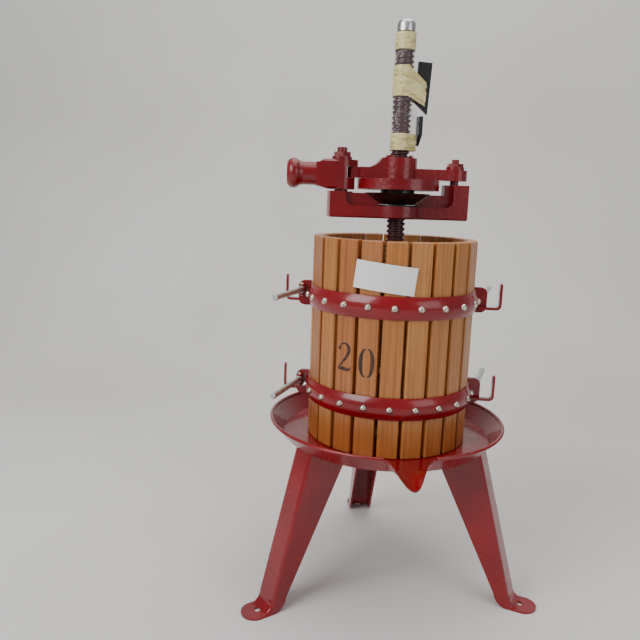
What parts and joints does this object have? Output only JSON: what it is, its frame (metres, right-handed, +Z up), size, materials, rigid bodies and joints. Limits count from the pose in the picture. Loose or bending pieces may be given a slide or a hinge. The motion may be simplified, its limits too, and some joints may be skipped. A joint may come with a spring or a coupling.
{
  "type": "ratchet basket press",
  "caption": "Tripod basket press for fruit and grapes: slatted split wooden basket in a pouring tray, central screw, rocking ratchet head with handle socket",
  "frame": {"origin": "on the ground under the screw's axis, the centre of the circle through the three foot holes", "axes": "+Z up along the screw, -Y towards the pouring spout, -X towards the handle socket"},
  "size_m": [0.4156, 0.437, 0.8],
  "materials": {
    "red_enamel": "glossy deep red enamel",
    "stave_wood": "clear varnished hardwood, orange brown",
    "board_wood": "plain sanded hardwood",
    "bolt_steel": "bright plated steel",
    "zinc": "zinc plated rod",
    "screw_maroon": "dark maroon paint over rolled thread, bare steel end",
    "paper": "plain white paper",
    "film": "clear stretch film",
    "tape": "cream masking tape, wrinkled",
    "pawl_black": "black steel"
  },
  "bodies": {
    "base": {"tray": "red_enamel", "leg_front_left": "red_enamel", "leg_front_right": "red_enamel", "leg_rear": "red_enamel", "leg_bolts": "bolt_steel", "leg_nuts": "bolt_steel", "base_plate": "red_enamel", "screw_shaft": "screw_maroon", "screw_top_nut": "bolt_steel", "screw_bottom_nut": "bolt_steel", "film_sleeve": "film", "tape_lower": "tape", "tape_middle": "tape", "tape_upper": "tape", "pawl_upper": "pawl_black", "pawl_lower": "pawl_black"},
    "basket_front": {"staves_front": "stave_wood", "hoop_upper_front": "red_enamel", "hoop_lower_front": "red_enamel", "hoop_bolts_front": "bolt_steel", "hoop_nuts_front": "bolt_steel", "hooks_front": "red_enamel", "latch_pins_front": "bolt_steel", "blank_label": "paper"},
    "basket_rear": {"staves_rear": "stave_wood", "hoop_upper_rear": "red_enamel", "hoop_lower_rear": "red_enamel", "hoop_bolts_rear": "bolt_steel", "hoop_nuts_rear": "bolt_steel", "hooks_rear": "red_enamel", "latch_pins_rear": "bolt_steel"},
    "lever_upper_left": {"lever_upper_left": "zinc"},
    "lever_lower_left": {"lever_lower_left": "zinc"},
    "lever_upper_right": {"lever_upper_right": "zinc"},
    "lever_lower_right": {"lever_lower_right": "zinc"},
    "press_stack": {"press_board_left": "board_wood", "press_board_right": "board_wood", "press_blocks_lower": "board_wood", "press_blocks_upper": "board_wood"},
    "head": {"yoke": "red_enamel", "thrust_washer": "bolt_steel", "left_stud": "red_enamel", "left_washer": "red_enamel", "left_nut": "red_enamel", "right_stud": "bolt_steel", "right_washer": "red_enamel", "right_nut": "red_enamel"},
    "nut_wheel": {"nut_wheel": "red_enamel"},
    "rocker_arm": {"rocker_arm": "red_enamel"},
    "handle": {"handle_socket": "red_enamel", "drive_pin": "bolt_steel"}
  },
  "joints": [
    {"name": "head_travel", "type": "slide", "parent": "base", "child": "head", "axis": [0, 0, 1], "range_m": [-0.06, 0.004]},
    {"name": "nut_turn", "type": "hinge", "parent": "head", "child": "nut_wheel", "pos_m": [0, 0, 0.58], "axis": [0, 0, 1], "range_deg": [-3080, 205]},
    {"name": "handle_swing", "type": "hinge", "parent": "head", "child": "handle", "pos_m": [-0.08, 0, 0.59], "axis": [0, 0, 1], "range_deg": [-30, 30]},
    {"name": "arm_swing", "type": "hinge", "parent": "head", "child": "rocker_arm", "pos_m": [0.08, 0, 0.59], "axis": [0, 0, 1], "range_deg": [-3.5, 3.5]},
    {"name": "basket_front_pull", "type": "slide", "parent": "base", "child": "basket_front", "axis": [-0.165, -0.9863, 0], "range_m": [0, 0.03]},
    {"name": "basket_rear_pull", "type": "slide", "parent": "base", "child": "basket_rear", "axis": [0.165, 0.9863, 0], "range_m": [0, 0.03]},
    {"name": "stack_lift", "type": "slide", "parent": "base", "child": "press_stack", "axis": [0, 0, 1], "range_m": [0, 0.14]},
    {"name": "lever_upper_left_swing", "type": "hinge", "parent": "basket_front", "child": "lever_upper_left", "pos_m": [-0.12904, 0.01348, 0.43], "axis": [0, 0, -1], "range_deg": [0, 60]},
    {"name": "lever_upper_right_swing", "type": "hinge", "parent": "basket_rear", "child": "lever_upper_right", "pos_m": [0.12904, -0.01348, 0.43], "axis": [0, 0, -1], "range_deg": [0, 60]},
    {"name": "lever_lower_left_swing", "type": "hinge", "parent": "basket_front", "child": "lever_lower_left", "pos_m": [-0.12904, 0.01348, 0.2967], "axis": [0, 0, -1], "range_deg": [0, 60]},
    {"name": "lever_lower_right_swing", "type": "hinge", "parent": "basket_rear", "child": "lever_lower_right", "pos_m": [0.12904, -0.01348, 0.2967], "axis": [0, 0, -1], "range_deg": [0, 60]}
  ],
  "couplings": [
    {"joint": "head_travel", "follows": "nut_turn", "m_per_rad": 0.0011141},
    {"joint": "arm_swing", "follows": "handle_swing", "ratio": -0.113}
  ]
}
